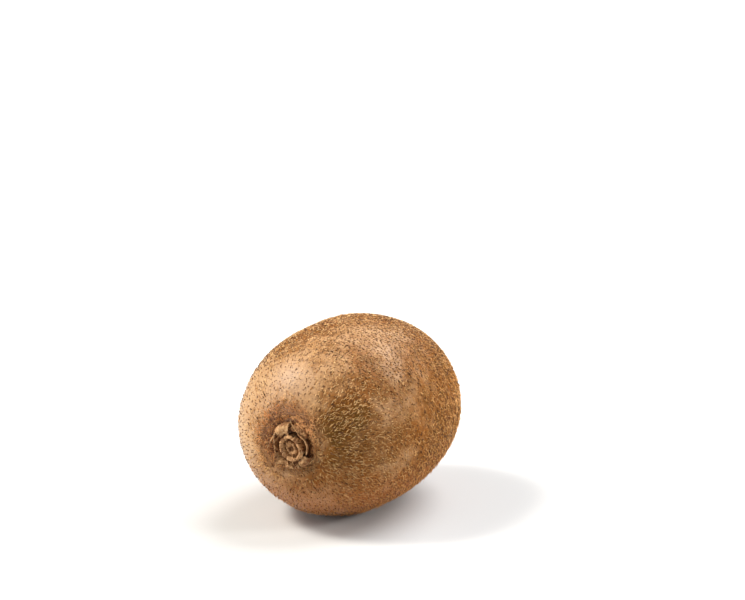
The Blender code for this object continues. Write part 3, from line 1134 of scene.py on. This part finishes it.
def new_finish(name, roughness, specular):
    """A material, its shader, and a wire that new nodes can be added with."""
    material = bpy.data.materials.new(name)
    material.use_nodes = True
    shader = material.node_tree.nodes["Principled BSDF"]
    shader.inputs["Roughness"].default_value = roughness
    shader.inputs["Specular IOR Level"].default_value = specular
    return material, shader, Wire(material.node_tree)


def plug(wire, shader, name):
    wire.tree.links.new(wire.socket, shader.inputs[name])


def place_on(bench):
    """The place on the piece, in metres."""
    return bench.node("ShaderNodeTexCoord", {}, {}, "Object")


def height_of(bench, place):
    return bench.node("ShaderNodeSeparateXYZ", {}, {"Vector": place}, "Z")


def carried(bench, label):
    """A number that the points of the piece carry."""
    return bench.node("ShaderNodeAttribute", {"attribute_name": label}, {}, "Fac")


def clouds(bench, place, size, detail=2.0):
    """Noise with bumps about this size, in metres."""
    return bench.node(
        "ShaderNodeTexNoise",
        {"noise_dimensions": "3D"},
        {"Vector": place, "Scale": 1 / size, "Detail": detail, "Roughness": 0.6},
    )


def vector_maths(bench, operation, *vectors, output=0):
    return bench.node("ShaderNodeVectorMath", {"operation": operation}, dict(enumerate(vectors)), output)


def away_from(bench, place, centre):
    """How far each place is from a point."""
    return vector_maths(bench, "DISTANCE", place, tuple(centre), output=1)


def add_relief(bench, shader, strength, distance, height):
    """Fine relief, as a bump as deep as this distance."""
    relief = {"Strength": strength, "Distance": distance, "Height": height}
    plug(bench.node("ShaderNodeBump", {}, relief), shader, "Normal")


print(len(bpy.data.materials), "materials so far")

# %% [markdown]
# ### Skin
#
# Under its hairs the skin is a thin brown cork. In even light it is golden brown, with greener
# and redder patches, redder still round the scar. Painted shade darkens it under a thick coat and
# round the scar, makes it darker and redder low down, and darker and more olive on the flank that
# faces the camera. It is full of tiny dark pits, one for each hair that broke off, which show best
# where the coat is rubbed away. There it has been polished too, so a clear coat lies over it, by
# how bare it is.

# %% Colour the skin
# A patch of painted shade on the flank that faces the camera, where the skin is made darker and
# more olive
FRONT_SHADE_PATCH = MIDDLE + np.array([13.5, -30.0, 5.3]) * MM
# On skin and hairs alike, the painted shade of the underside, darker and redder, is full below the
# first height and gone above the second
UNDERSIDE_SHADE_HEIGHTS = (4 * MM, 22 * MM)
skin_finish, skin_shader, bench = new_finish("kiwi_skin", 0.55, 0.1)
place = place_on(bench)
broad = clouds(bench, place, 16 * MM)
patchy = clouds(bench, place, 4.5 * MM, 4.0)
fine = clouds(bench, place, 0.8 * MM, 4.0)
gritty = clouds(bench, place, 0.3 * MM, 3.0)
height_up = height_of(bench, place)
scar_near = 1 - away_from(bench, place, RING_MIDDLE).step(6 * MM, 10.5 * MM)

covered = carried(bench, "coat").step(0.1, 0.9)
bare = broad.step(0.35, 0.65).between(rgb(0.36, 0.19, 0.074), rgb(0.43, 0.255, 0.118))
# Under a thick coat the skin is darker: partly its own colour, partly painted shade of the hairs over it
furry_and_shaded = broad.step(0.35, 0.65).between(rgb(0.17, 0.06, 0.009), rgb(0.23, 0.08, 0.012))
golden = covered.between(bare, furry_and_shaded)
# Painted shade: under the coat, the flank that faces the camera is made darker and more olive
front_shade = 1 - away_from(bench, place, FRONT_SHADE_PATCH).step(3 * MM, 10 * MM)
olive = (patchy.step(0.42, 0.7) * 0.6 + front_shade * 0.6) * covered
greener = olive.between(golden, rgb(0.11, 0.05, 0.007))
# Painted shade of the underside: low down the skin is made darker and redder
low_down = 1 - height_up.step(*UNDERSIDE_SHADE_HEIGHTS)
redder = (low_down * 0.7).between(greener, rgb(0.36, 0.115, 0.036))
# Round the scar the skin is dark reddish: partly its own colour, partly painted shade in the gaps between
# the hairs
scar_ring_and_shade = (scar_near * 0.85).between(redder, rgb(0.12, 0.031, 0.007))
mottled = (fine.step(0.45, 0.75) * 0.7).between(scar_ring_and_shade, rgb(0.15, 0.06, 0.018))
pale_flecks = (gritty.step(0.52, 0.7) * (1 - covered) * 0.6).between(mottled, rgb(0.6, 0.33, 0.13))
print("the skin's colour takes", len(bench.tree.nodes), "nodes")

# %% [markdown]
# The pits could be real dents, but they are finer than the skin's faces. So they are dark spots in
# the colour, partly the broken hair's own dark and partly painted shade of the dent, sunk by a bump.
# A cell pattern spaces them, and only some of its cells get one, so that they don't stand in rows.

# %% Sink the pits and polish the skin
PIT_SPACING = 0.9 * MM
RELIEF_DEPTH = 0.15 * MM
# The polish on top of the fruit begins at the first height and is full at the second
POLISHED_HEIGHTS = (34 * MM, 46 * MM)


def pit_cells(output):
    """Cells with a pit in the middle of each: the distance from it, or the cell's own colour."""
    return bench.node(
        "ShaderNodeTexVoronoi", {"feature": "F1"}, {"Vector": place, "Scale": 1 / PIT_SPACING}, output
    )


lucky = bench.node("ShaderNodeSeparateColor", {}, {"Color": pit_cells("Color")}, "Red").step(0.35, 0.4)
# Each pit is darkened: partly the broken hair's own dark colour, partly painted shade of its dent
pits = (1 - pit_cells("Distance").step(0.12, 0.3)) * lucky
plug((pits * 0.75).between(pale_flecks, rgb(0.05, 0.022, 0.009)), skin_shader, "Base Color")
plug(0.45 + 0.2 * covered + 0.12 * fine, skin_shader, "Roughness")
upper_side = height_up.step(*POLISHED_HEIGHTS)
uncovered = 1 - covered
plug(uncovered * uncovered * 0.65 + upper_side * 0.08, skin_shader, "Coat Weight")
skin_shader.inputs["Coat Roughness"].default_value = 0.5
add_relief(bench, skin_shader, 0.5, RELIEF_DEPTH, fine * 0.5 + gritty * 0.3 - pits * 0.8)
skin.data.materials.append(skin_finish)
print("the whole finish takes", len(bench.tree.nodes), "nodes")

# %% [markdown]
# ### Hairs
#
# A single hair is a dry bristle, brown at its root and straw-coloured towards its tip; near the skin
# that brown is partly painted shade. No two have quite the same shade. They are golden on the cheek
# that the sun reached and reddish round the scar. Low down, painted shade of the underside makes
# them darker and redder.

# %% Finish the hairs
# The middle of the side that the sun reached, from the barrel's middle
GOLDEN_CHEEK = MIDDLE + np.array([26.0, 6.0, -4.0]) * MM
hair_finish, hair_shader, bench = new_finish("kiwi_hair", 0.6, 0.02)
place = place_on(bench)
lot = carried(bench, "shade").step(0.1, 0.9)
cheek = 1 - away_from(bench, place, GOLDEN_CHEEK).step(14 * MM, 34 * MM)
straw = lot.between(rgb(0.42, 0.165, 0.03), rgb(1.0, 0.68, 0.33))
gold = lot.between(rgb(0.42, 0.15, 0.022), rgb(1.0, 0.58, 0.23))
sunny = cheek.between(straw, gold)
reddish = (carried(bench, "by_scar") * 0.8).between(sunny, rgb(0.98, 0.5, 0.22))
# Painted shade of the underside: low down the hairs are made darker and redder
low_down = 1 - height_of(bench, place).step(*UNDERSIDE_SHADE_HEIGHTS)
underside_shaded_hair = (low_down * 0.6).between(reddish, rgb(0.55, 0.22, 0.075))
# Dark at the root: partly the hair's own brown, partly painted shade where the hairs lie close over the
# skin
rooted = carried(bench, "tip").step(-0.1, 0.35).between(rgb(0.09, 0.032, 0.008), underside_shaded_hair)
plug(rooted, hair_shader, "Base Color")
for piece in coat:
    piece.data.materials.append(hair_finish)
print(len(coat), "coats share the finish of", len(bench.tree.nodes), "nodes")

# %% [markdown]
# The shadow dashes are short dark hairs laid as painted shadows of the coat, and the stumps have lost
# their straw-coloured ends, so a darker finish does for both, and only its shade differs from one to
# the next.

# %% Finish the shadow dashes and the stumps
stump_and_dash_finish, stump_shader, bench = new_finish("stumps_and_shadow_dashes", 0.6, 0.25)
dark = carried(bench, "shade").between(rgb(0.03, 0.011, 0.003), rgb(0.17, 0.065, 0.018))
plug(dark, stump_shader, "Base Color")
for piece in (stumps, shadow_dashes):
    piece.data.materials.append(stump_and_dash_finish)
    print(piece.name, "is finished")

# %% [markdown]
# ### Wood, scales and styles
#
# The three dry pieces are all dead plant, so they share one recipe with other colours: a ground
# colour, darker in the hollows of a coarse noise, paler on the crests of a fine one, and a bump
# from both. On the scar the fine noise runs out from the axis like spokes, as its grain does.

# %% Finish the dry pieces


def dry_finish(name, dark, middle, pale, grain, relief_height, shaded_foot=False, spokes=False):
    """Dead plant: dark in its hollows, pale on its crests, and darkened by painted shade towards its foot
    if asked.
    """
    material, shader, bench = new_finish(name, 0.7, 0.18)
    place = place_on(bench)
    coarse = clouds(bench, place, grain * 3, 4.0)
    fibres = clouds(bench, place, grain, 5.0)
    if spokes:
        out = vector_maths(bench, "SUBTRACT", place, tuple(STEM_POLE))
        round_axis = vector_maths(bench, "NORMALIZE", vector_maths(bench, "MULTIPLY", out, (1, 0, 1)))
        fibres = clouds(bench, round_axis, 0.11, 3.0) * 0.6 + fibres * 0.4
    ground = coarse.step(0.35, 0.6).between(dark, middle)
    crests = (fibres.step(0.5, 0.75) * 0.7).between(ground, pale)
    # Painted shade: the scales are darkened by their painted light attribute, most at their feet
    if shaded_foot:
        crests = carried(bench, "painted_light").between(dark, crests)
    plug(crests, shader, "Base Color")
    plug(0.6 + 0.25 * fibres, shader, "Roughness")
    add_relief(bench, shader, 0.7, relief_height, coarse + fibres)
    return material


woody_scar = dry_finish(
    "woody_scar", rgb(0.15, 0.06, 0.02), rgb(0.46, 0.25, 0.11), rgb(0.78, 0.52, 0.29),
    0.35 * MM, 0.12 * MM, spokes=True,
)
dry_scales = dry_finish(
    "dry_scales", rgb(0.16, 0.06, 0.018), rgb(0.4, 0.22, 0.095), rgb(0.76, 0.53, 0.3),
    0.5 * MM, 0.12 * MM, shaded_foot=True,
)
dark_styles = dry_finish(
    "dark_styles", rgb(0.012, 0.007, 0.004), rgb(0.04, 0.023, 0.012), rgb(0.13, 0.08, 0.045),
    0.4 * MM, 0.08 * MM,
)
for piece, finish in ((button, woody_scar), (calyx, dry_scales), (star, dark_styles)):
    piece.data.materials.append(finish)
    print(piece.name, "is finished with", finish.name)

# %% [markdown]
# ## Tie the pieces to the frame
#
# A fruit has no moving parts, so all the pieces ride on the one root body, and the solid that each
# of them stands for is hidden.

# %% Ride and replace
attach(skin, "root")
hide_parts("fruit_body")
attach(button, "root")
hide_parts("stem_button")
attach(calyx, "root")
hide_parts("dry_sepals")
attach(star, "root")
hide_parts("dried_styles")
for piece in (*coat, shadow_dashes, stumps):
    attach(piece, "root")
    print(piece.name, "rides on the root body")

# %% [markdown]
# ## Studio
#
# The fruit lies on a white table under one wide soft light from behind and above. A second, with a
# smaller lamp in it, stands at the upper left and draws the sheen on the bare shoulder. A low one
# at the left lights the stem end, and a weak one at the right keeps that side from going dull. They
# are sun lamps with a wide angle: a softbox far away looks the same, and a fruit this small never
# comes near its edge.

# %% Lay the table
TABLE_SIZE = 20
TABLE_GREY = 0.56

fresh_start()
bpy.ops.mesh.primitive_plane_add(size=TABLE_SIZE)
table = named("table")
table_finish, table_shader, bench = new_finish("white_table", 0.6, 0.3)
table_shader.inputs["Base Color"].default_value = rgb(TABLE_GREY, TABLE_GREY, TABLE_GREY)
table.data.materials.append(table_finish)
print("the table is", TABLE_SIZE, "m wide, so its edge is far outside the portrait")

# %% [markdown]
# The lights differ only in where they stand, how wide, strong and warm they are, so they are rows of
# a table too. The even air between them is the world's own colour.

# %% Hang the lights
AIR_BRIGHTNESS = 0.25
# Name, azimuth and elevation, how wide each looks, its strength and its colour
SOFTBOXES = (
    ("upper_left", -72, 48, 30, 1.9, (1.0, 0.98, 0.95)),
    ("upper_left_lamp", -69, 50, 16, 2.6, (1.0, 0.96, 0.86)),
    ("left_low", -58, 8, 40, 2.15, (1.0, 1.0, 1.0)),
    ("behind", 154, 50, 50, 4.3, (1.0, 1.0, 1.0)),
    ("right_fill", 103, 25, 14, 1.65, (1.0, 0.98, 0.95)),
)


def add_softbox(name, azimuth, elevation, wide, strength, colour):
    """A far softbox that looks this wide, in degrees, seen from the fruit."""
    fresh_start()
    bpy.ops.object.light_add(
        type="SUN", rotation=(math.radians(90 - elevation), 0, math.radians(azimuth))
    )
    light = named(name)
    light.data.angle = math.radians(wide)
    light.data.energy = strength
    light.data.color = colour


for softbox in SOFTBOXES:
    add_softbox(*softbox)
    print("a softbox", softbox[0], "at", softbox[1:3], "degrees")

world = bpy.data.worlds.new("studio_air")
world.use_nodes = True
air = world.node_tree.nodes["Background"]
air.inputs["Color"].default_value = rgb(1.0, 1.0, 1.0)
air.inputs["Strength"].default_value = AIR_BRIGHTNESS
bpy.context.scene.world = world
bpy.context.scene.view_settings.view_transform = "Standard"
